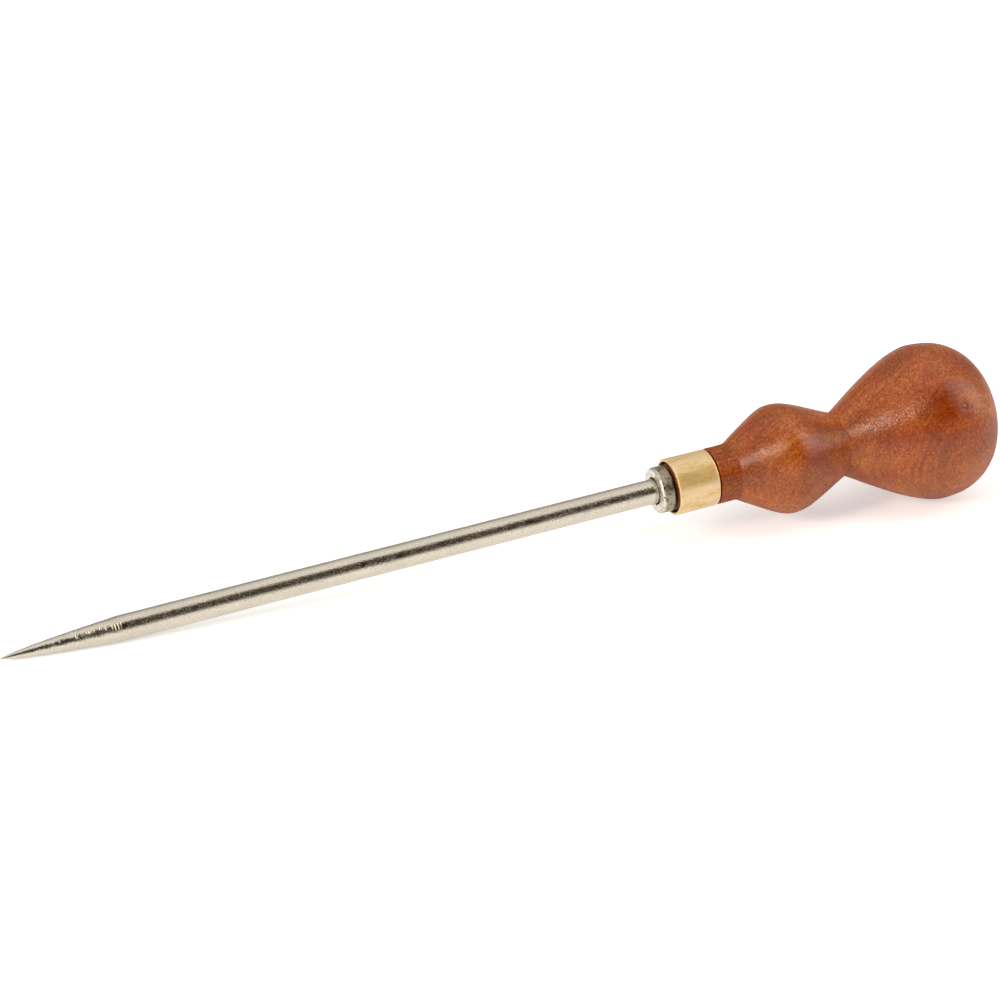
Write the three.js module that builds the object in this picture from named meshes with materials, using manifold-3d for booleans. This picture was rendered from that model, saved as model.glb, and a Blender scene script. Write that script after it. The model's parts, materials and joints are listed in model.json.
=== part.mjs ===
// A scratch awl lying on a flat surface, in millimetres, +Z up.
//
// The awl is a steel blade, a collar on its shank, a brass ferrule and a turned wooden handle.
// Every piece is turned about one axis, so each is drawn as an outline of (radius, distance from
// the point) and spun. The finished awl is then laid down with its point towards -X and its butt
// towards +X. The origin is the middle of its footprint, on the surface that it lies on.

import * as THREE from 'three';
import { mergeVertices } from 'three/addons/utils/BufferGeometryUtils.js';
import Module from 'manifold-3d';

// ---- Driving dimensions: radii, and distances along the axis from the very point ----

const OVERALL_LENGTH = 255;
const FIT_GAP = 0.3; // between pieces that touch or press together on the real tool

const SHANK_RADIUS = 3.1;
const POINT_LENGTH = 28.6;
const POINT_FULLNESS = 0.62; // 1 would be a straight cone; smaller is a fuller, rounder point
const POINT_STEPS = 12;

const COLLAR_RADIUS = 5.7;
const COLLAR_FRONT = 164.2;
const COLLAR_EDGE = 0.7; // radius that rounds off the collar's front edge
const COLLAR_REAR_BEVEL = 0.3;

const FERRULE_RADIUS = 7;
const FERRULE_WALL = 0.7;
const FERRULE_FRONT = 168.1;
const FERRULE_REAR = 179;
const FERRULE_LIP = 0.25; // bevel around the ferrule's two outer edges

const TENON_FRONT = 168; // the wood's end is about level with the ferrule's mouth
const TENON_BEVEL = 0.8;
const NOSE_RADIUS = 6.95;
const NOSE_REAR = 184.6;
const SMALL_BULB = { radius: 13.65, at: 198.9 };
const NECK = { radius: 7.95, at: 213.9 };
const BIG_BULB = { radius: 19.5, at: 238.4 };
const BUTT_CROWN = 6.8; // how far out from the axis the butt stays nearly flat
const BUTT_SIDE = 14.5; // how far behind the big bulb's crest its side keeps its heading

const SHANK_REAR = 170.6; // the round shank stops here, and the square tang goes on
const TANG_REAR = 222.6;
const TANG_FRONT_RADIUS = 2.9; // across the tang's corners
const TANG_REAR_RADIUS = 1.5;

const SHANK_SIDES = 32;
const COLLAR_SIDES = 40;
const FERRULE_SIDES = 48;
const HANDLE_SIDES = 40;
const TANG_SIDES = 4;
const CURVE_STEPS = 9; // along each curve of the handle
const EDGE_STEPS = 2; // along each half of a rounded edge

// ---- Materials ----

const nickelSteel = (roughness) => new THREE.MeshStandardMaterial({
  color: 0xc9c3b6,
  roughness,
  metalness: 1,
});
const bladeMaterial = nickelSteel(0.28);
const collarMaterial = nickelSteel(0.45);
const ferruleMaterial = new THREE.MeshStandardMaterial({ color: 0xd0a664, roughness: 0.32, metalness: 1 });
const handleMaterial = new THREE.MeshStandardMaterial({ color: 0xa35a2c, roughness: 0.42, metalness: 0 });

// ---- Outlines ----

// Takes an outline on to a point along a smooth curve. A slope is in degrees from the axis, and a
// reach is how far the curve keeps to it.
function sweepTo(outline, leave, target, arrive) {
  const start = outline.currentPoint;
  const leaveSlope = THREE.MathUtils.degToRad(leave.slope);
  const arriveSlope = THREE.MathUtils.degToRad(arrive.slope);
  outline.bezierCurveTo(
    start.x + leave.reach * Math.sin(leaveSlope),
    start.y + leave.reach * Math.cos(leaveSlope),
    target.radius - arrive.reach * Math.sin(arriveSlope),
    target.at - arrive.reach * Math.cos(arriveSlope),
    target.radius,
    target.at,
  );
}

// The point swells quickly from its needle tip and runs smoothly into the shank.
function pointOutline() {
  const points = [];
  for (let step = 0; step <= POINT_STEPS; step += 1) {
    const share = (step / POINT_STEPS) ** 1.5;
    points.push(new THREE.Vector2(SHANK_RADIUS * share ** POINT_FULLNESS, POINT_LENGTH * share));
  }
  return points;
}

function shankOutline() {
  const points = pointOutline();
  points.push(new THREE.Vector2(SHANK_RADIUS, SHANK_REAR));
  points.push(new THREE.Vector2(0, SHANK_REAR));
  return points;
}

// The tang starts a little inside the shank's end, so that the two join into one body.
function tangOutline() {
  return [
    new THREE.Vector2(0, SHANK_REAR - 1),
    new THREE.Vector2(TANG_FRONT_RADIUS, SHANK_REAR - 1),
    new THREE.Vector2(TANG_REAR_RADIUS, TANG_REAR),
    new THREE.Vector2(0, TANG_REAR),
  ];
}

function collarOutline() {
  const bore = SHANK_RADIUS + FIT_GAP;
  const rear = TENON_FRONT - FIT_GAP;
  const outline = new THREE.Path();
  outline.moveTo(bore, COLLAR_FRONT);
  outline.lineTo(COLLAR_RADIUS - COLLAR_EDGE, COLLAR_FRONT);
  outline.absarc(COLLAR_RADIUS - COLLAR_EDGE, COLLAR_FRONT + COLLAR_EDGE, COLLAR_EDGE, -Math.PI / 2, 0, false);
  outline.lineTo(COLLAR_RADIUS, rear - COLLAR_REAR_BEVEL);
  outline.lineTo(COLLAR_RADIUS - COLLAR_REAR_BEVEL, rear);
  outline.lineTo(bore, rear);
  outline.lineTo(bore, COLLAR_FRONT);
  return outline.getPoints(EDGE_STEPS);
}

function ferruleOutline() {
  const bore = FERRULE_RADIUS - FERRULE_WALL;
  const outline = new THREE.Path();
  outline.moveTo(bore, FERRULE_FRONT);
  outline.lineTo(FERRULE_RADIUS - FERRULE_LIP, FERRULE_FRONT);
  outline.lineTo(FERRULE_RADIUS, FERRULE_FRONT + FERRULE_LIP);
  outline.lineTo(FERRULE_RADIUS, FERRULE_REAR - FERRULE_LIP);
  outline.lineTo(FERRULE_RADIUS - FERRULE_LIP, FERRULE_REAR);
  outline.lineTo(bore, FERRULE_REAR);
  outline.lineTo(bore, FERRULE_FRONT);
  return outline.getPoints();
}

// The handle is drilled from the front for the shank's end and tapered behind it for the tang.
// Outside it has a tenon for the ferrule, a plain nose, a small bulb, a tight neck and the palm bulb.
function handleOutline() {
  const tenon = FERRULE_RADIUS - FERRULE_WALL - FIT_GAP;
  const outline = new THREE.Path();
  outline.moveTo(0, TANG_REAR + FIT_GAP);
  outline.lineTo(TANG_REAR_RADIUS + FIT_GAP, TANG_REAR + FIT_GAP);
  outline.lineTo(TANG_FRONT_RADIUS + FIT_GAP, SHANK_REAR + FIT_GAP);
  outline.lineTo(SHANK_RADIUS + FIT_GAP, SHANK_REAR + FIT_GAP);
  outline.lineTo(SHANK_RADIUS + FIT_GAP, TENON_FRONT);
  outline.lineTo(tenon - TENON_BEVEL, TENON_FRONT);
  outline.lineTo(tenon, TENON_FRONT + TENON_BEVEL);
  outline.lineTo(tenon, FERRULE_REAR + FIT_GAP);
  outline.lineTo(NOSE_RADIUS, FERRULE_REAR + FIT_GAP);
  outline.lineTo(NOSE_RADIUS, NOSE_REAR);
  sweepTo(outline, { slope: 30, reach: 13 }, SMALL_BULB, { slope: 0, reach: 2.6 });
  sweepTo(outline, { slope: 0, reach: 3.7 }, NECK, { slope: -19, reach: 4.4 });
  sweepTo(outline, { slope: 29, reach: 6.8 }, BIG_BULB, { slope: 0, reach: 6.5 });
  outline.bezierCurveTo(
    BIG_BULB.radius,
    BIG_BULB.at + BUTT_SIDE,
    BUTT_CROWN,
    OVERALL_LENGTH,
    0,
    OVERALL_LENGTH,
  );
  return outline.getPoints(CURVE_STEPS);
}

// ---- Solids ----

// Spins an outline about +Y, with a flat side, not an edge, towards the surface that the awl lies on.
function spin(points, sides) {
  const down = -Math.PI / 2;
  return new THREE.LatheGeometry(points, sides, down + Math.PI / sides, 2 * Math.PI);
}

function solidOf(wasm, geometry) {
  const bare = geometry.clone();
  bare.deleteAttribute('normal');
  bare.deleteAttribute('uv');
  const merged = mergeVertices(bare);
  return new wasm.Manifold(new wasm.Mesh({
    numProp: 3,
    vertProperties: new Float32Array(merged.attributes.position.array),
    triVerts: new Uint32Array(merged.index.array),
  }));
}

function geometryOf(solid) {
  const mesh = solid.getMesh();
  const geometry = new THREE.BufferGeometry();
  geometry.setAttribute('position', new THREE.BufferAttribute(mesh.vertProperties, 3));
  geometry.setIndex(new THREE.BufferAttribute(mesh.triVerts, 1));
  geometry.computeVertexNormals();
  return geometry;
}

// The blade is one forging: the point, the round shank and the square tang that the handle holds.
function bladeGeometry(wasm) {
  const shank = solidOf(wasm, spin(shankOutline(), SHANK_SIDES));
  const tang = solidOf(wasm, spin(tangOutline(), TANG_SIDES));
  return geometryOf(shank.add(tang));
}

function piece(name, geometry, material) {
  const mesh = new THREE.Mesh(geometry, material);
  mesh.name = name;
  return mesh;
}

// ---- Assembly ----

// The awl lies on its big bulb and on the flank of its point. This is the slope of the line that
// touches both, with each radius measured to the flat sides of the solids.
function restSlope() {
  const pointFlat = Math.cos(Math.PI / SHANK_SIDES);
  const bulbFlat = Math.cos(Math.PI / HANDLE_SIDES);
  const slopes = handleOutline().map((bulb) => Math.min(...pointOutline().map(
    (point) => (bulb.x * bulbFlat - point.x * pointFlat) / (bulb.y - point.y),
  )));
  return Math.max(...slopes);
}

const wasm = await Module();
wasm.setup();

const turned = new THREE.Group();
turned.rotation.z = -Math.PI / 2; // the spinning axis +Y becomes +X
turned.add(
  piece('blade', bladeGeometry(wasm), bladeMaterial),
  piece('bolster_collar', spin(collarOutline(), COLLAR_SIDES), collarMaterial),
  piece('ferrule', spin(ferruleOutline(), FERRULE_SIDES), ferruleMaterial),
  piece('handle', spin(handleOutline(), HANDLE_SIDES), handleMaterial),
);

const lying = new THREE.Group();
lying.rotation.y = -Math.atan(restSlope()); // the butt rises and the point goes down
lying.add(turned);

const awl = new THREE.Group();
awl.add(lying);
const box = new THREE.Box3().setFromObject(awl, true);
const centre = box.getCenter(new THREE.Vector3());
lying.position.set(-centre.x, -centre.y, -box.min.z);

export default awl;
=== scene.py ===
# The looks of the scratch awl: fine turned meshes and procedural materials over the CAD frame.
#
# Every piece is turned about the awl's own axis. Its mesh is made in the awl's own space, with
# the very point at zero and +X running to the butt, and is then laid where the CAD model lies.
# Sizes come from the CAD solids. Lengths are in metres, except in materials, which work in
# millimetres.

import json
import math

import bmesh
import bpy
import numpy as np
from mathutils import Matrix, Vector


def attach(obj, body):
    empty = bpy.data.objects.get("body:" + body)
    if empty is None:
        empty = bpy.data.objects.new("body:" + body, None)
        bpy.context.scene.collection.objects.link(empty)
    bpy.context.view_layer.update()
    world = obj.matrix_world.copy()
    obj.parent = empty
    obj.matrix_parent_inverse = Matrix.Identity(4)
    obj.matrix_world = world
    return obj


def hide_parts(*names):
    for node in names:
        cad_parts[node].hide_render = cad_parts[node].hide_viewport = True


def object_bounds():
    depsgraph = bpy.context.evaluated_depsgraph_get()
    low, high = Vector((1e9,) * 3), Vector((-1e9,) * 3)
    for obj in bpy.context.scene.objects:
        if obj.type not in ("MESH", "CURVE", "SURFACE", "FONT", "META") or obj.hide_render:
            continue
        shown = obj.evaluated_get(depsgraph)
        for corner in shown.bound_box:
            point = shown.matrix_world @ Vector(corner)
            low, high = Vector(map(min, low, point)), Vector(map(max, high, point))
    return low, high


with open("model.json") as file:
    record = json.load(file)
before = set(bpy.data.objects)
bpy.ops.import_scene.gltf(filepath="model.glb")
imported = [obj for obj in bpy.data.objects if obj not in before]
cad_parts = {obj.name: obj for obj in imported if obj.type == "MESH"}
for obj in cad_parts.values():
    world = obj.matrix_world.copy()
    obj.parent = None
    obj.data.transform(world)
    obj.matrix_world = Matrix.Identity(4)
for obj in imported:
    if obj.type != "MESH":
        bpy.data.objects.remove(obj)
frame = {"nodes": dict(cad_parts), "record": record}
CAD_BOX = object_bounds()

MM = 0.001
TURN = 2 * math.pi
SEED = 11

# ---- Camera ----

CAMERA_AZIMUTH = -22.8  # in degrees, as are the next two
CAMERA_ELEVATION = 24.2
CAMERA_ROLL = -0.26
CAMERA_DISTANCE = 0.88
CAMERA_LENS = 133.6  # in mm, for a sensor 36 mm wide
AIM_OFFSET = Vector((-3.8, 0.0, -0.9)) * MM  # from the middle of the CAD box

# ---- Mesh detail ----

HANDLE_SIDES = 168
FERRULE_SIDES = 160
COLLAR_SIDES = 144
BLADE_SIDES = 96
SMOOTHING_STEP = 0.08 * MM  # along an outline while its corners are rounded over
POINT_STEP = 0.07 * MM
POINT_FULLNESS = 0.62  # the power that the point's radius grows by, as in the CAD solid
ON_AXIS = 1e-4 * MM  # an outline this near the axis is closed by one vertex

# ---- Wear ----

RING_MARK_PITCH = 0.70 * MM  # from one ring mark on the point's shoulder to the next
MARK_LEAN = 0.35  # how much grinding marks lean, as wave() takes it
KNOT_DENT_REACH = 1.1 * MM

# The height, in mm, of each kind of unevenness:
CROSSED_MARKS = 0.024
RING_MARKS = 0.038
GROUND_FACETS = 0.025
UNEVEN_ROD = 0.006
FINE_UNEVEN_ROD = 0.0022
COLLAR_WEAR = 0.012
COLLAR_DENTS = 0.03
FERRULE_OUT_OF_ROUND = 0.035
FERRULE_DENTS = 0.006
FERRULE_FLARE = 0.07
FERRULE_CURL = -0.05
TURNING_WAVES = 0.014
SANDED_WAVES = 0.05
KNOT_DENT = -0.1


# ---- The awl's own space, and the sizes in it ----

def awl_space():
    """The matrix that lays the awl's own space where the CAD model lies."""
    mounts = {mount["name"]: mount for mount in frame["record"]["mounts"]}
    along = -Vector(mounts["collar_seat"]["axis"]).normalized()
    side = Vector((0.0, 1.0, 0.0))
    up = along.cross(side)
    tip = min((vertex.co.copy() for vertex in frame["nodes"]["blade"].data.vertices), key=along.dot)
    return Matrix.Translation(tip) @ Matrix((along, side, up)).transposed().to_4x4()


PLACE = awl_space()


def rings(node):
    """A turned CAD node's rings as (distance from the point, radius) rows, from the front back."""
    back = PLACE.inverted()
    found = set()
    for vertex in frame["nodes"][node].data.vertices:
        x, y, z = back @ vertex.co
        found.add((round(x, 5), round(math.hypot(y, z), 5)))
    return np.array(sorted(found))


COLLAR = rings("bolster_collar")
FERRULE = rings("ferrule")
HANDLE = rings("handle")
BLADE = rings("blade")

SHANK_RADIUS = BLADE[:, 1].max()
POINT_LENGTH = BLADE[BLADE[:, 1] > SHANK_RADIUS - 0.01 * MM][0, 0]
TANG = BLADE[BLADE[:, 0] > POINT_LENGTH + MM]
SHANK_REAR = TANG[0, 0]
COLLAR_FRONT = COLLAR[0, 0]
FERRULE_FRONT = FERRULE[0, 0]
FERRULE_REAR = FERRULE[-1, 0]
FERRULE_RADIUS = FERRULE[:, 1].max()
NOSE_REAR = HANDLE[HANDLE[:, 0] > FERRULE_REAR + MM][0, 0]
BUTT = HANDLE[-1, 0]
BUTT_LENGTH = 25 * MM  # there is no bore this near the butt
IN_BORE = (HANDLE[:, 1] < SHANK_RADIUS * 1.15) & (HANDLE[:, 0] < BUTT - BUTT_LENGTH)
HANDLE_BORE = HANDLE[IN_BORE]
HANDLE_OUTSIDE = HANDLE[~IN_BORE]
PALM_BULB = HANDLE[HANDLE[:, 1].argmax(), 0]
BULBS_APART = 15 * MM  # the two crests are further apart than this
SMALL_BULB = HANDLE[np.where(HANDLE[:, 0] < PALM_BULB - BULBS_APART, HANDLE[:, 1], 0).argmax(), 0]


def on_handle(distance, angle):
    """The place on the handle's surface at that distance and angle, in degrees, in the awl's space."""
    radius = np.interp(distance, *HANDLE_OUTSIDE.T)
    return distance, radius * math.cos(math.radians(angle)), radius * math.sin(math.radians(angle))


KNOT = on_handle(240.8 * MM, 148)
STAIN = on_handle(236.1 * MM, 142)
# Painted shade on the middles of both bulbs, on their side towards the camera.
BULB_SHADES = ((on_handle(229 * MM, 152), 18.0), (on_handle(202 * MM, 150), 10.0))  # centre, reach in mm
# A golden band painted along one side of the ferrule: a painted reflection.
REFLECTION_BAND_ANGLE = math.radians(146)
REFLECTION_BAND_SQUEEZE = 0.3  # along the axis, so that the painted reflection is a long patch
REFLECTION_BAND = (
    REFLECTION_BAND_SQUEEZE * (FERRULE_FRONT + FERRULE_REAR) / 2,
    FERRULE_RADIUS * math.cos(REFLECTION_BAND_ANGLE),
    FERRULE_RADIUS * math.sin(REFLECTION_BAND_ANGLE),
)


# ---- Outlines: arrays of (distance, radius) rows ----

def through(points, beyond, steps=12):
    """A smooth curve through the points. It leaves the last one as if it went on to beyond."""
    before = 2 * points[0] - points[1]
    knots = np.vstack([before, points, beyond])
    t = np.linspace(0, 1, steps, endpoint=False)[:, None]
    runs = []
    for a, b, c, d in zip(knots, knots[1:], knots[2:], knots[3:]):
        bend = (2 * a - 5 * b + 4 * c - d) * t ** 2 + (3 * b - a - 3 * c + d) * t ** 3
        runs.append(b + 0.5 * ((c - a) * t + bend))
    return np.vstack([*runs, points[-1:]])


def evenly(points, step):
    """The same outline in even steps."""
    lengths = np.hypot(*np.diff(points, axis=0).T)
    along = np.concatenate([[0], np.cumsum(lengths)])
    stations = np.linspace(0, along[-1], max(2, round(along[-1] / step)) + 1)
    return np.column_stack([np.interp(stations, along, column) for column in points.T])


def rounded(points, blur, closed=False):
    """The outline in fine even steps, with its corners rounded over about blur either side."""
    rows = evenly(points, SMOOTHING_STEP)
    reach = math.ceil(3 * blur / SMOOTHING_STEP)
    weights = np.exp(-0.5 * (np.arange(-reach, reach + 1) * SMOOTHING_STEP / blur) ** 2)
    weights /= weights.sum()
    if closed:
        rows = rows[:-1]
        padded = np.vstack([rows[-reach:], rows, rows[:reach]])
    else:
        head = 2 * rows[0] - rows[reach:0:-1]
        tail = 2 * rows[-1] - rows[-2:-reach - 2:-1]
        padded = np.vstack([head, rows, tail])
    return np.column_stack([np.convolve(column, weights, "valid") for column in padded.T])


def thinned(rows, step, bend):
    """Fewer rows: one for each step along the outline, and one for each bend, in radians, in it."""
    ways = np.diff(rows, axis=0)
    heading = np.unwrap(np.arctan2(ways[:, 1], ways[:, 0]))
    turned = np.abs(np.diff(heading, append=heading[-1])) / bend
    cost = np.concatenate([[0], np.cumsum(np.hypot(*ways.T) / step + turned)])
    stations = np.linspace(0, cost[-1], math.ceil(cost[-1]) + 1)
    return np.column_stack([np.interp(stations, cost, column) for column in rows.T])


# ---- Meshes ----

def wave(phase, lean=0.0):
    """A wave about -1 to 1. With lean above 0 it rises gently and falls steeply."""
    return np.sin(phase) - lean * np.sin(2 * phase)


def ripple(seed, distance, angle, length, turns, waves=9, lean=0.0):
    """A smooth random field over a turned surface, about -1 to 1.

    Its waves are about length long, and pass up to turns times around the axis.
    """
    rng = np.random.default_rng(SEED + seed)
    field = 0
    for _ in range(waves):
        pitch = length * rng.uniform(0.6, 1.7)
        around = rng.integers(-turns, turns + 1)
        field = field + wave(TURN * distance / pitch + around * angle + rng.uniform(0, TURN), lean)
    return field / math.sqrt(waves)


def fade(value, start, end):
    """0 at start and 1 at end, running smoothly between them; start may be above end."""
    share = np.clip((value - start) / (end - start), 0, 1)
    return share * share * (3 - 2 * share)


def linked(name, data):
    """A new object in the scene with that data."""
    made = bpy.data.objects.new(name, data)
    bpy.context.collection.objects.link(made)
    return made


def turned_grid(outline, sides, relief):
    """The outline's rows, each as points around the axis, with the surface raised by the relief."""
    angle = np.arange(sides) * TURN / sides
    distance, radius = (np.repeat(column[:, None], sides, axis=1) for column in outline.T)
    angle = np.repeat(angle[None, :], len(outline), axis=0)
    lifted = radius + relief(distance, radius, angle) * (radius > 0)
    return np.stack([distance, lifted * np.cos(angle), lifted * np.sin(angle)], axis=2)


def skin(mesh, pairs):
    """Faces between the two rows of each pair. A row may be one vertex, many times over."""
    for near_row, far_row in pairs:
        sides = len(near_row)
        for i in range(sides):
            j = (i + 1) % sides
            corners = dict.fromkeys((near_row[i], near_row[j], far_row[j], far_row[i]))
            mesh.faces.new(list(corners)).smooth = True


def spin(name, outline, sides, relief, closed=False):
    """A piece turned about the awl's axis. relief(distance, radius, angle) raises its surface."""
    mesh = bmesh.new()
    rows = []
    for points, radius in zip(turned_grid(outline, sides, relief), outline[:, 1]):
        if radius < ON_AXIS:
            rows.append([mesh.verts.new((points[0, 0], 0, 0))] * sides)
        else:
            rows.append([mesh.verts.new(point) for point in points])
    pairs = list(zip(rows, rows[1:]))
    if closed:
        pairs.append((rows[-1], rows[0]))
    skin(mesh, pairs)
    bmesh.ops.recalc_face_normals(mesh, faces=mesh.faces)
    mesh.transform(PLACE)
    data = bpy.data.meshes.new(name)
    mesh.to_mesh(data)
    mesh.free()
    return linked(name, data)


def blade_outline():
    """The needle point, the round shank and the tang."""
    share = np.linspace(0, 1, round(POINT_LENGTH / POINT_STEP)) ** 1.15
    point = np.column_stack([POINT_LENGTH * share, SHANK_RADIUS * share ** POINT_FULLNESS])
    shank = np.array([[POINT_LENGTH + 0.3 * MM, SHANK_RADIUS], [SHANK_REAR, SHANK_RADIUS]])
    (_, front_radius), (rear, rear_radius) = TANG[[0, -1]]
    tang = [[SHANK_REAR + 0.01 * MM, front_radius], [rear, rear_radius], [rear, 0]]
    return np.vstack([point, evenly(shank, 0.9 * MM), tang])


def grinding(distance, angle):
    """Grinding marks on the point. They cross on its flank, and run around it at its shoulder."""
    ground = fade(distance, POINT_LENGTH + 0.2 * MM, POINT_LENGTH - 0.3 * MM)
    ground = ground * fade(distance, 3 * MM, 14 * MM)
    shoulder = fade(distance, POINT_LENGTH - 3.0 * MM, POINT_LENGTH - 2.0 * MM)
    crossed = ripple(1, distance, angle, length=0.72 * MM, turns=9, waves=10, lean=MARK_LEAN)
    ring_marks = wave(TURN * distance / RING_MARK_PITCH, lean=MARK_LEAN) * RING_MARKS
    facets = ripple(3, distance, angle, length=3 * MM, turns=5) * GROUND_FACETS
    marks = crossed * CROSSED_MARKS * (1 - shoulder) + ring_marks * shoulder
    return ground * (marks + facets) * MM


def make_blade():
    def relief(distance, radius, angle):
        """The round rod is a little uneven. The tang's flats are nearer the axis than its corners."""
        uneven = ripple(4, distance, angle, length=14 * MM, turns=3) * UNEVEN_ROD
        uneven = uneven + ripple(5, distance, angle, length=3 * MM, turns=7) * FINE_UNEVEN_ROD
        uneven = uneven * fade(distance, POINT_LENGTH - 8 * MM, POINT_LENGTH) * MM
        squared = np.maximum(np.abs(np.cos(angle)), np.abs(np.sin(angle)))
        flats = (distance > SHANK_REAR) * radius * (math.sqrt(0.5) / squared - 1)
        return grinding(distance, angle) + uneven * (distance <= SHANK_REAR) + flats

    return spin("awl_blade", blade_outline(), BLADE_SIDES, relief)


def loop(rows):
    """A ring's closed outline: its bore from rear to front, then its outside from front to rear."""
    front, rear = rows[[0, -1], 0]
    bore = rows[:, 1].min()
    outside = rows[rows[:, 1] > bore + 0.02 * MM]
    return np.vstack([[rear, bore], [front, bore], outside, [rear, bore]])


def make_collar():
    outline = rounded(loop(COLLAR), blur=0.14 * MM, closed=True)
    outline = thinned(outline, step=0.16 * MM, bend=0.15)

    def relief(distance, radius, angle):
        """Worn and dented outside; the bore is left true."""
        worn = ripple(6, distance, angle, length=1.6 * MM, turns=12) * COLLAR_WEAR
        dented = ripple(7, distance, angle, length=6 * MM, turns=5) * COLLAR_DENTS
        return (worn + dented) * MM * fade(radius, SHANK_RADIUS + 0.6 * MM, SHANK_RADIUS + 1.6 * MM)

    return spin("awl_collar", outline, COLLAR_SIDES, relief, closed=True)


def make_ferrule():
    outline = rounded(loop(FERRULE), blur=0.09 * MM, closed=True)
    outline = thinned(outline, step=0.25 * MM, bend=0.2)

    def relief(distance, radius, angle):
        """Slightly out of round, with a flared front lip and a rear edge pressed in to the wood."""
        out_of_round = ripple(8, distance, angle, length=60 * MM, turns=4) * FERRULE_OUT_OF_ROUND
        dents = ripple(9, distance, angle, length=5 * MM, turns=8) * FERRULE_DENTS
        flare = fade(distance, FERRULE_FRONT + 0.8 * MM, FERRULE_FRONT) * FERRULE_FLARE
        curl = fade(distance, FERRULE_REAR - 0.7 * MM, FERRULE_REAR) * FERRULE_CURL
        return (out_of_round + dents + flare + curl) * MM

    return spin("awl_ferrule", outline, FERRULE_SIDES, relief, closed=True)


def handle_outline():
    """The drilled bore, the tenon and shoulder, and the curves from the nose to the butt."""
    from_its_end = np.lexsort((HANDLE_BORE[:, 1], -HANDLE_BORE[:, 0]))
    bore = HANDLE_BORE[from_its_end]
    in_ferrule = HANDLE_OUTSIDE[:, 0] <= FERRULE_REAR + MM
    tenon, shaped = HANDLE_OUTSIDE[in_ferrule], HANDLE_OUTSIDE[~in_ferrule]
    middle = shaped[(shaped[:, 0] > SMALL_BULB) & (shaped[:, 0] < PALM_BULB)]
    neck = middle[middle[:, 1].argmin(), 0]
    to_neck = shaped[shaped[:, 0] <= neck]
    to_butt = shaped[shaped[:, 0] >= neck]
    small_bulb = through(to_neck, 2 * to_neck[-1] - to_neck[-2])
    palm_bulb = through(to_butt, to_butt[-2] * (1, -1))
    surface = rounded(np.vstack([tenon, small_bulb, palm_bulb[1:]]), blur=0.18 * MM)
    surface[-1] = BUTT, 0
    return np.vstack([bore, thinned(surface, step=0.7 * MM, bend=0.07)])


def make_handle():
    def relief(distance, radius, angle):
        """Faint turning waves, a sanded unevenness, and a small dent over the knot."""
        turned = ripple(10, distance, angle, length=5 * MM, turns=1) * TURNING_WAVES
        sanded = ripple(11, distance, angle, length=40 * MM, turns=4) * SANDED_WAVES
        seen = fade(distance, FERRULE_REAR, FERRULE_REAR + MM) * fade(radius, 0, 4 * MM)
        place = np.stack([distance, radius * np.cos(angle), radius * np.sin(angle)])
        away = np.linalg.norm(place - np.array(KNOT)[:, None, None], axis=0)
        dent = np.exp(-((away / KNOT_DENT_REACH) ** 2)) * KNOT_DENT
        return (turned + sanded + dent) * MM * seen

    return spin("awl_handle", handle_outline(), HANDLE_SIDES, relief)


# ---- Material building ----

def new_material(name):
    """A material with no nodes yet, and its node tree."""
    made = bpy.data.materials.new(name)
    made.use_nodes = True
    made.node_tree.nodes.clear()
    return made, made.node_tree


def put(tree, kind, inputs=None, **settings):
    """Adds a node. Inputs are values, or other nodes' outputs."""
    node = tree.nodes.new(kind)
    for name, value in settings.items():
        setattr(node, name, value)
    for name, value in (inputs or {}).items():
        if isinstance(value, bpy.types.NodeSocket):
            tree.links.new(value, node.inputs[name])
        else:
            node.inputs[name].default_value = value
    return node


def math_node(tree, operation, *values):
    return put(tree, "ShaderNodeMath", dict(enumerate(values)), operation=operation).outputs[0]


def vector_math(tree, operation, *values):
    return put(tree, "ShaderNodeVectorMath", dict(enumerate(values)), operation=operation).outputs[0]


def noise(tree, vector, scale=1.0, detail=3.0, roughness=0.55, distortion=0.0):
    values = {
        "Vector": vector,
        "Scale": scale,
        "Detail": detail,
        "Roughness": roughness,
        "Distortion": distortion,
    }
    return put(tree, "ShaderNodeTexNoise", values).outputs["Fac"]


def ramp(tree, factor, *stops):
    """Colours at places from 0 to 1: each stop is (place, colour)."""
    node = put(tree, "ShaderNodeValToRGB", {"Fac": factor})
    elements = node.color_ramp.elements
    while len(elements) < len(stops):
        elements.new(1.0)
    for element, (place, colour) in zip(elements, stops):
        element.position = place
        element.color = (*colour, 1)
    return node.outputs["Color"]


def mix(tree, factor, first, second, blend="MIX"):
    node = put(tree, "ShaderNodeMix", data_type="RGBA", blend_type=blend)
    for socket, value in zip((node.inputs[0], node.inputs[6], node.inputs[7]), (factor, first, second)):
        if isinstance(value, bpy.types.NodeSocket):
            tree.links.new(value, socket)
        elif isinstance(value, tuple):
            socket.default_value = (*value, 1)
        else:
            socket.default_value = value
    return node.outputs[2]


def between(tree, value, start, end):
    """0 where value is at start and 1 at end, running smoothly."""
    values = {"Value": value, "From Min": start, "From Max": end}
    return put(tree, "ShaderNodeMapRange", values, interpolation_type="SMOOTHSTEP").outputs["Result"]


def within(tree, value, low, high, soft):
    """1 where value is from low to high, with edges that run over soft either side of each."""
    middle, half = (low + high) / 2, (high - low) / 2
    away = math_node(tree, "ABSOLUTE", math_node(tree, "SUBTRACT", value, middle))
    return between(tree, away, half + soft, half - soft)


def bump(tree, height, distance, normal=None):
    """A bump of that real depth."""
    values = {"Height": height, "Distance": distance, "Strength": 1.0}
    if normal is not None:
        values["Normal"] = normal
    return put(tree, "ShaderNodeBump", values).outputs["Normal"]


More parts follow.
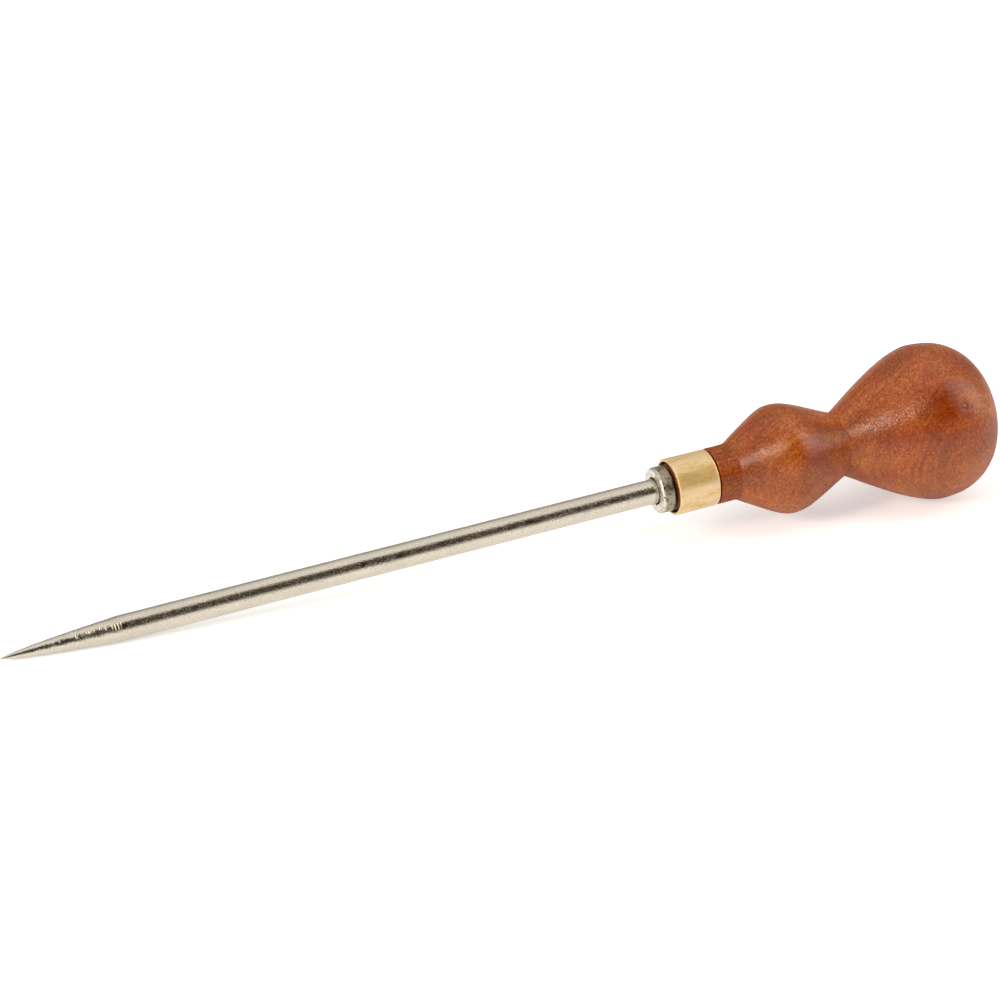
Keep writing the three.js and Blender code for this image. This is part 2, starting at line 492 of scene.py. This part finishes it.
def millimetres(tree):
    """The place in the awl's own space, in millimetres."""
    values = {
        "Vector": put(tree, "ShaderNodeTexCoord").outputs["Object"],
        "Location": PLACE.to_translation(),
        "Rotation": PLACE.to_euler(),
        "Scale": (MM, MM, MM),
    }
    return put(tree, "ShaderNodeMapping", values, vector_type="TEXTURE").outputs[0]


def stretched(tree, place, along, across, up=None):
    """Texture space scaled along the awl's axis and across it."""
    return vector_math(tree, "MULTIPLY", place, (along, across, across if up is None else up))


def from_point(tree, place):
    """The distance from the awl's point, along its axis, in millimetres."""
    return put(tree, "ShaderNodeSeparateXYZ", {0: place}).outputs["X"]


def around_axis(tree):
    """The way round the awl at each place on its surface."""
    normal = put(tree, "ShaderNodeNewGeometry").outputs["Normal"]
    return vector_math(tree, "CROSS_PRODUCT", PLACE.to_3x3().col[0].to_tuple(), normal)


def near(tree, place, centre, start, end, wander=0.0):
    """1 within start of a place, and 0 beyond end, in millimetres. wander makes the edge uneven."""
    centre = tuple(value / MM for value in centre)
    away = put(tree, "ShaderNodeVectorMath", {0: place, 1: centre}, operation="DISTANCE").outputs["Value"]
    shift = math_node(tree, "SUBTRACT", noise(tree, place, scale=0.22), 0.5)
    return between(tree, math_node(tree, "MULTIPLY_ADD", shift, wander, away), end, start)


def weighted(tree, *terms):
    """The sum of value times weight, where each value runs about its own middle of 0.5."""
    total = 0.5
    for value, weight in terms:
        shifted = math_node(tree, "SUBTRACT", value, 0.5)
        total = math_node(tree, "MULTIPLY_ADD", shifted, weight, total)
    return total


def finish_material(tree, **values):
    """Ends the tree in one Principled shader. Names use _ for a space."""
    named = {name.replace("_", " "): value for name, value in values.items()}
    shader = put(tree, "ShaderNodeBsdfPrincipled", named)
    put(tree, "ShaderNodeOutputMaterial", {"Surface": shader.outputs[0]})


# ---- Materials ----

# Colours are in linear light. A ramp is given as (place, colour) stops.
STEEL = ((0.3, (0.50, 0.468, 0.395)), (0.7, (0.555, 0.52, 0.445)))
SCUFFED_STEEL = ((0.36, (0.20, 0.165, 0.11)), (0.47, (0.61, 0.585, 0.50)), (0.7, (0.76, 0.74, 0.66)))
BRASS = ((0.34, (0.57, 0.38, 0.14)), (0.47, (0.685, 0.515, 0.27)), (0.66, (0.755, 0.61, 0.395)))
WOOD = (
    (0.0, (0.115, 0.017, 0.001)),
    (0.38, (0.221, 0.042, 0.003)),
    (0.62, (0.303, 0.068, 0.005)),
    (1.0, (0.50, 0.150, 0.025)),
)
TABLE = ((0.0, (0.73, 0.74, 0.755)), (1.0, (0.77, 0.78, 0.795)))
KNOT_EDGE_COLOUR = (0.09, 0.014, 0.003)
KNOT_CORE_COLOUR = (0.42, 0.14, 0.055)
OPEN_GRAIN_COLOUR = (0.14, 0.022, 0.002)
# Painted shade: the wood's end in the recess at the ferrule's mouth.
RECESS_SHADE_COLOUR = (0.09, 0.025, 0.006)

# Each of these multiplies the colour under it.
# Painted shade on the collar's rim, with some grime.
RIM_SHADE_AND_GRIME_TINT = (0.43, 0.405, 0.35)
# Painted reflection: the golden band along the ferrule.
REFLECTION_BAND_TINT = (1.0, 0.93, 0.66)
WOOD_TINTS = ((0.38, (1.0, 0.92, 1.10)), (0.62, (0.97, 1.08, 0.88)))
# Painted shade on the middles of the bulbs.
BULB_SHADE_TINT = (0.83, 0.68, 0.45)
STAIN_TINT = (0.80, 0.62, 0.42)

# The growth layers' outward way, in the awl's own space, where they lie flat to the surface.
LAYERS_FACE = Vector((0.105, -0.958, -0.268)).normalized()
PITH_DEPTH = 70.0  # mm from the awl's axis to the tree's pith
WOOD_SWAY = (2, 7, 5)  # how far the growth wanders along the fibres, around the pith and out, in mm


def blade_steel():
    """Bright nickel-coloured steel: polished, with a faint grain, specks and lengthwise marks."""
    made, tree = new_material("blade_steel")
    place = millimetres(tree)
    grain = noise(tree, stretched(tree, place, 1.3, 2.2), detail=4.0, roughness=0.7)
    fine = noise(tree, place, scale=3.0, detail=2.0)
    drawn = noise(tree, stretched(tree, place, 0.06, 5.0), detail=2.0)
    specks = between(tree, noise(tree, place, scale=3.0, roughness=0.8), 0.46, 0.60)
    clusters = between(tree, noise(tree, place, scale=0.35, detail=2.0), 0.30, 0.55)
    haze = math_node(tree, "MULTIPLY", specks, clusters)
    cloud = noise(tree, stretched(tree, place, 0.1, 0.4))
    colour = ramp(tree, cloud, *STEEL)
    roughness = math_node(tree, "MULTIPLY_ADD", grain, 0.10, 0.02)
    metallic = math_node(tree, "MULTIPLY_ADD", haze, -0.27, 1.0)
    normal = bump(tree, grain, 0.055 * MM)
    normal = bump(tree, fine, 0.016 * MM, normal)
    normal = bump(tree, drawn, 0.004 * MM, normal)
    finish_material(tree, Base_Color=colour, Metallic=metallic, Roughness=roughness, Normal=normal)
    return made


def collar_steel():
    """The same steel with a rougher, scuffed surface and dirt in its low places. The rim is darker:
    painted shade, with some grime.
    """
    made, tree = new_material("collar_steel")
    place = millimetres(tree)
    pits = noise(tree, place, scale=1.5, detail=5.0, roughness=0.65)
    scuffs = noise(tree, stretched(tree, place, 1.0, 4.0), roughness=0.6, distortion=1.2)
    colour = ramp(tree, pits, *SCUFFED_STEEL)
    # The rim is darkened: painted shade, with some grime on it.
    rim = between(tree, from_point(tree, place), COLLAR_FRONT / MM + 0.3, COLLAR_FRONT / MM + 1.0)
    colour = mix(tree, rim, colour, RIM_SHADE_AND_GRIME_TINT, "MULTIPLY")
    roughness = math_node(tree, "MULTIPLY_ADD", scuffs, 0.35, 0.13)
    normal = bump(tree, pits, 0.085 * MM)
    normal = bump(tree, scuffs, 0.05 * MM, normal)
    finish_material(tree, Base_Color=colour, Metallic=1.0, Roughness=roughness, Normal=normal)
    return made


def ferrule_brass():
    """Satin brass under a thin dull film. Its lengthwise draw marks blur reflections around it."""
    made, tree = new_material("ferrule_brass")
    place = millimetres(tree)
    streaks = noise(tree, stretched(tree, place, 0.10, 0.7), detail=2.0, roughness=0.5)
    marks = noise(tree, stretched(tree, place, 0.8, 4.0), roughness=0.6)
    tarnish = noise(tree, stretched(tree, place, 0.45, 0.45), roughness=0.6)
    tone = weighted(tree, (streaks, 0.4), (tarnish, 0.3), (marks, 0.45))
    colour = ramp(tree, tone, *BRASS)
    # Painted reflection: a long golden patch on one side of the ferrule.
    squeezed = stretched(tree, place, REFLECTION_BAND_SQUEEZE, 1.0)
    reflection_band = near(tree, squeezed, REFLECTION_BAND, 1.0, 3.0, wander=6.0)
    colour = mix(tree, reflection_band, colour, REFLECTION_BAND_TINT, "MULTIPLY")
    roughness = math_node(tree, "MULTIPLY_ADD", marks, 0.2, 0.28)
    normal = bump(tree, streaks, 0.12 * MM)
    normal = bump(tree, marks, 0.02 * MM, normal)
    finish_material(
        tree, Base_Color=colour, Metallic=0.7, Roughness=roughness, Normal=normal,
        Anisotropic=0.8, Tangent=around_axis(tree),
    )
    return made


def wood_space(tree, place):
    """The place in the tree's own space: along the fibres, around the pith, and out from it."""
    out = LAYERS_FACE
    fibres = (Vector((1, 0, 0)) - out * out.x).normalized()
    around = out.cross(fibres)
    rotation = Matrix((fibres, around, out)).to_euler()
    turned = put(tree, "ShaderNodeMapping", {"Vector": place, "Rotation": rotation}).outputs[0]
    slow = put(tree, "ShaderNodeTexNoise", {"Vector": turned, "Scale": 0.07, "Detail": 2.0})
    centred = vector_math(tree, "SUBTRACT", slow.outputs["Color"], (0.5, 0.5, 0.5))
    sway = vector_math(tree, "MULTIPLY", centred, WOOD_SWAY)
    parts = put(tree, "ShaderNodeSeparateXYZ", {0: vector_math(tree, "ADD", turned, sway)}).outputs
    depth = math_node(tree, "ADD", parts["Z"], PITH_DEPTH)
    ring_vector = put(tree, "ShaderNodeCombineXYZ", {"X": parts["Y"], "Y": depth}).outputs[0]
    outward = put(tree, "ShaderNodeVectorMath", {0: ring_vector}, operation="LENGTH").outputs["Value"]
    return put(tree, "ShaderNodeCombineXYZ", {"X": parts["X"], "Y": parts["Y"], "Z": outward}).outputs[0]


def wood_grain(tree, place, wood):
    """The grain's tone, about 0.5, and the rays, flecks and turning marks in it."""
    patches = noise(tree, stretched(tree, wood, 0.05, 0.09), detail=2.0)
    growth = noise(tree, stretched(tree, wood, 0.02, 0.05, 1.7), detail=2.0, roughness=0.6)
    rays = noise(tree, stretched(tree, wood, 1.2, 3.4, 1.0), detail=2.0, roughness=0.5)
    flecks = noise(tree, stretched(tree, place, 5.0, 1.7), detail=2.0, roughness=0.7)
    turning = noise(tree, stretched(tree, place, 3.6, 0.5), detail=2.0, roughness=0.6)
    tone = weighted(tree, (patches, 0.9), (growth, 0.6), (rays, 0.9), (flecks, 1.65), (turning, 0.55))
    return tone, rays, flecks, turning


def wood_colour(tree, place, wood, tone):
    """Reddish brown, which varies in hue, with painted shade on the middles of the bulbs, a stain and a
    knot.
    """
    hue = noise(tree, stretched(tree, wood, 0.10, 0.16))
    colour = mix(tree, 1.0, ramp(tree, tone, *WOOD), ramp(tree, hue, *WOOD_TINTS), "MULTIPLY")

    # Painted shade: the bulbs' middles are darkened.
    for centre, reach in BULB_SHADES:
        bulb_shade = near(tree, place, centre, 0.0, reach, wander=9.0)
        colour = mix(tree, bulb_shade, colour, BULB_SHADE_TINT, "MULTIPLY")
    stain = near(tree, place, STAIN, 0.0, 9.0, wander=20.0)
    colour = mix(tree, stain, colour, STAIN_TINT, "MULTIPLY")
    knot_edge = near(tree, place, KNOT, 0.5, 1.3, wander=0.6)
    knot_core = near(tree, place, KNOT, 0.2, 0.5)
    colour = mix(tree, math_node(tree, "MULTIPLY", knot_edge, 0.8), colour, KNOT_EDGE_COLOUR)
    return mix(tree, math_node(tree, "MULTIPLY", knot_core, 0.5), colour, KNOT_CORE_COLOUR)


def varnish(tree, place, normal, bare):
    """The coat's inputs. It is slightly uneven, glossier in some places, and thinner where bare."""
    peel = noise(tree, place, scale=1.1, detail=2.0)
    gloss = noise(tree, place, scale=0.25)
    glancing = put(tree, "ShaderNodeLayerWeight", {"Blend": 0.5}).outputs["Facing"]
    weight = math_node(tree, "MULTIPLY_ADD", math_node(tree, "POWER", glancing, 2.0), -0.78, 0.88)
    remaining = math_node(tree, "MULTIPLY_ADD", bare, -0.35, 1.0)
    return {
        "Coat_Weight": math_node(tree, "MULTIPLY", weight, remaining),
        "Coat_Roughness": math_node(tree, "MULTIPLY_ADD", gloss, 0.16, 0.07),
        "Coat_Normal": bump(tree, peel, 0.05 * MM, normal),
    }


def handle_wood():
    """Hardwood with short ray flecks and growth layers, and open grain on its nose, under varnish."""
    made, tree = new_material("handle_wood")
    place = millimetres(tree)
    wood = wood_space(tree, place)
    along = from_point(tree, place)
    tone, rays, flecks, turning = wood_grain(tree, place, wood)
    colour = wood_colour(tree, place, wood, tone)

    nose = between(tree, along, NOSE_REAR / MM + 0.3, NOSE_REAR / MM - 0.3)
    nose_lines = noise(tree, stretched(tree, place, 0.07, 1.7), roughness=0.6)
    nose_grain = math_node(tree, "MULTIPLY", between(tree, nose_lines, 0.53, 0.41), nose)
    nose_dark = math_node(tree, "MULTIPLY", nose_grain, 0.6)
    colour = mix(tree, nose_dark, colour, OPEN_GRAIN_COLOUR)
    # Painted shade: the wood's end, in the recess inside the ferrule's mouth, is darkened.
    recess_shade = between(tree, along, FERRULE_FRONT / MM + 2.0, FERRULE_FRONT / MM + 1.2)
    colour = mix(tree, recess_shade, colour, RECESS_SHADE_COLOUR)

    normal = bump(tree, rays, 0.07 * MM)
    normal = bump(tree, flecks, 0.07 * MM, normal)
    normal = bump(tree, math_node(tree, "MULTIPLY", nose_lines, nose), 0.2 * MM, normal)
    normal = bump(tree, turning, 0.02 * MM, normal)
    finish_material(
        tree, Base_Color=colour, Roughness=0.6, Specular_IOR_Level=0.0, Normal=normal,
        **varnish(tree, place, normal, nose),
    )
    return made


def pale_floor():
    """A pale table top that is softly lit from below too."""
    made, tree = new_material("pale_floor")
    place = put(tree, "ShaderNodeTexCoord").outputs["Object"]
    colour = ramp(tree, noise(tree, place, scale=30.0), *TABLE)
    finish_material(
        tree, Base_Color=colour, Roughness=0.9, Emission_Color=(1, 1, 1, 1), Emission_Strength=0.47,
    )
    return made


# ---- Studio ----

# How bright the room is, by where its light comes from.
WALLS = (0.62, 0.60, 0.58)
LOW_REAR_WALL = (0.46, 0.45, 0.43)
HIGH_REAR_WALL = (1.05, 1.01, 0.96)
CEILING = (1.27, 1.215, 1.17)

# Where those parts are, in degrees. The rear is measured either way round from the front.
REAR = (115, 200)
LOW = (-40, 34)
HIGH = (40, 120)
OVERHEAD = (62, 120)

# Each of these is its span in azimuth and in elevation, in degrees, and how bright it is.
DARK_GAP = ((-36, 42), (13, 69), (0.045, 0.034, 0.016))
LEFT_PANEL = ((-72, -61), (18, 36), (38.0, 32.9, 28.2))
RIGHT_PANEL = ((54, 80), (12, 60), (6.0, 5.1, 4.4))

# How soft their edges are, in degrees either side. The high and rear ones have their own.
SOFT_EDGE = 4
HIGH_EDGE = 8
REAR_EDGE = 10

FLOOR_REACH = 6.0


def towards(azimuth, elevation):
    """The way from the awl to that azimuth and elevation, in degrees. Azimuth 0 is in front, at -Y."""
    a, e = math.radians(azimuth), math.radians(elevation)
    return Vector((math.sin(a) * math.cos(e), -math.cos(a) * math.cos(e), math.sin(e)))


def add_camera():
    centre = (CAD_BOX[0] + CAD_BOX[1]) / 2
    back = towards(CAMERA_AZIMUTH, CAMERA_ELEVATION)
    turn = (-back).to_track_quat("-Z", "Y").to_matrix().to_4x4()
    roll = Matrix.Rotation(math.radians(CAMERA_ROLL), 4, "Z")
    data = bpy.data.cameras.new("camera")
    data.lens = CAMERA_LENS
    camera = linked("camera", data)
    camera.matrix_world = Matrix.Translation(centre + AIM_OFFSET + back * CAMERA_DISTANCE) @ turn @ roll
    bpy.context.scene.camera = camera


def add_floor():
    """A wide floor at the awl's lowest point."""
    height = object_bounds()[0].z
    signs = ((-1, -1), (1, -1), (1, 1), (-1, 1))
    corners = [(x * FLOOR_REACH, y * FLOOR_REACH, height) for x, y in signs]
    data = bpy.data.meshes.new("floor")
    data.from_pydata(corners, [], [(0, 1, 2, 3)])
    data.materials.append(pale_floor())
    floor = linked("floor", data)


def add_room():
    """A pale room with a dark gap in front, a bright panel to either side, and a bright ceiling."""
    world = bpy.data.worlds.new("room")
    bpy.context.scene.world = world
    world.use_nodes = True
    tree = world.node_tree
    tree.nodes.clear()
    way = put(tree, "ShaderNodeTexCoord").outputs["Generated"]
    x, y, z = put(tree, "ShaderNodeSeparateXYZ", {0: way}).outputs
    backwards = math_node(tree, "MULTIPLY", y, -1.0)
    azimuth = math_node(tree, "DEGREES", math_node(tree, "ARCTAN2", x, backwards))
    elevation = math_node(tree, "DEGREES", math_node(tree, "ARCSINE", z))

    rear = within(tree, math_node(tree, "ABSOLUTE", azimuth), *REAR, REAR_EDGE)
    low_rear = math_node(tree, "MULTIPLY", rear, within(tree, elevation, *LOW, SOFT_EDGE))
    high_rear = math_node(tree, "MULTIPLY", rear, within(tree, elevation, *HIGH, HIGH_EDGE))
    light = mix(tree, low_rear, WALLS, LOW_REAR_WALL)
    light = mix(tree, high_rear, light, HIGH_REAR_WALL)
    light = mix(tree, within(tree, elevation, *OVERHEAD, SOFT_EDGE), light, CEILING)
    for azimuths, elevations, colour in (DARK_GAP, LEFT_PANEL, RIGHT_PANEL):
        across = within(tree, azimuth, *azimuths, SOFT_EDGE)
        upright = within(tree, elevation, *elevations, SOFT_EDGE)
        light = mix(tree, math_node(tree, "MULTIPLY", across, upright), light, colour)
    background = put(tree, "ShaderNodeBackground", {"Color": light, "Strength": 1.0})
    put(tree, "ShaderNodeOutputWorld", {"Surface": background.outputs[0]})


def add_softbox(name, azimuth, elevation, distance, size, power):
    """A square area light that faces the awl. It lights matt surfaces but isn't mirrored."""
    data = bpy.data.lights.new(name, "AREA")
    data.size = size
    data.energy = power
    back = towards(azimuth, elevation)
    turn = back.to_track_quat("Z", "Y").to_matrix().to_4x4()
    light = linked(name, data)
    light.matrix_world = Matrix.Translation(back * distance) @ turn
    light.visible_camera = False
    light.visible_glossy = False


# ---- The awl ----

def dress(piece, node, material):
    """The piece takes its material and stands for its CAD node."""
    piece.data.materials.append(material)
    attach(piece, "root")
    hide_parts(node)


dress(make_blade(), "blade", blade_steel())
dress(make_collar(), "bolster_collar", collar_steel())
dress(make_ferrule(), "ferrule", ferrule_brass())
dress(make_handle(), "handle", handle_wood())

add_floor()
add_room()
add_softbox("overhead_fill", azimuth=-20, elevation=80, distance=1.6, size=1.6, power=2)
add_camera()
bpy.context.scene.view_settings.view_transform = "Standard"
